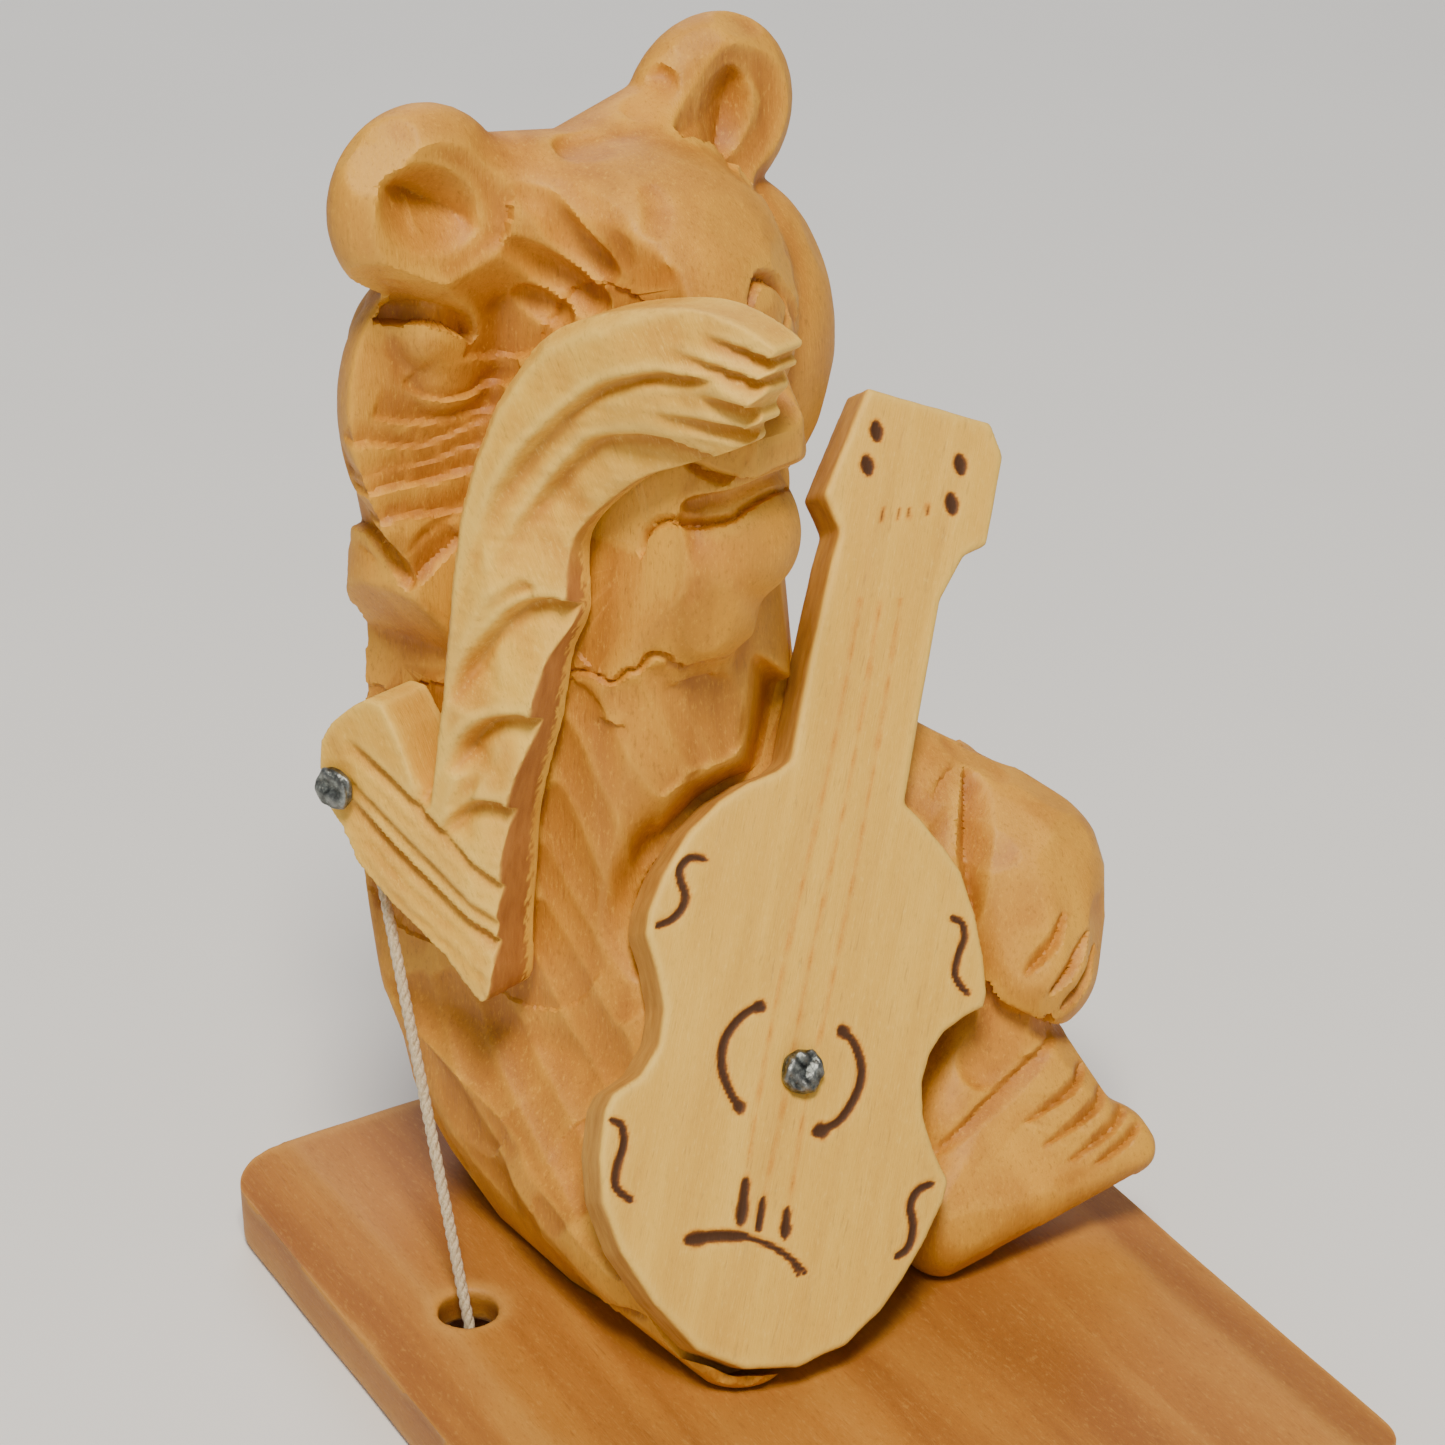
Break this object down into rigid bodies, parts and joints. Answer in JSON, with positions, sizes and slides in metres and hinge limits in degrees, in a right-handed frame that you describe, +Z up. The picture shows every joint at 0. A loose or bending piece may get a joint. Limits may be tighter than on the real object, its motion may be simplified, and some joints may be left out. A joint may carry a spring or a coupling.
{
  "type": "carved wooden bear toy figure with a violin",
  "caption": "Carved wooden bear sitting on a board, violin on its belly, one flat arm nailed at the shoulder and raised to its muzzle, pull string down to the board.",
  "frame": {"origin": "middle of the board's flat underside", "axes": "+Z up, the board's length along Y, the bear looks towards -Y"},
  "size_m": [0.0827, 0.1001, 0.129],
  "materials": {
    "bear": "satin",
    "arm": "satin",
    "violin": "satin",
    "board": "satin",
    "steel": "rough, hammered",
    "cotton": "matt twisted cord"
  },
  "bodies": {
    "root": {"base_board": "board", "bear": "bear", "right_arm": "arm", "violin": "violin", "arm_nail": "steel", "violin_nail": "steel", "string": "cotton", "string_knot": "cotton"}
  },
  "joints": []
}
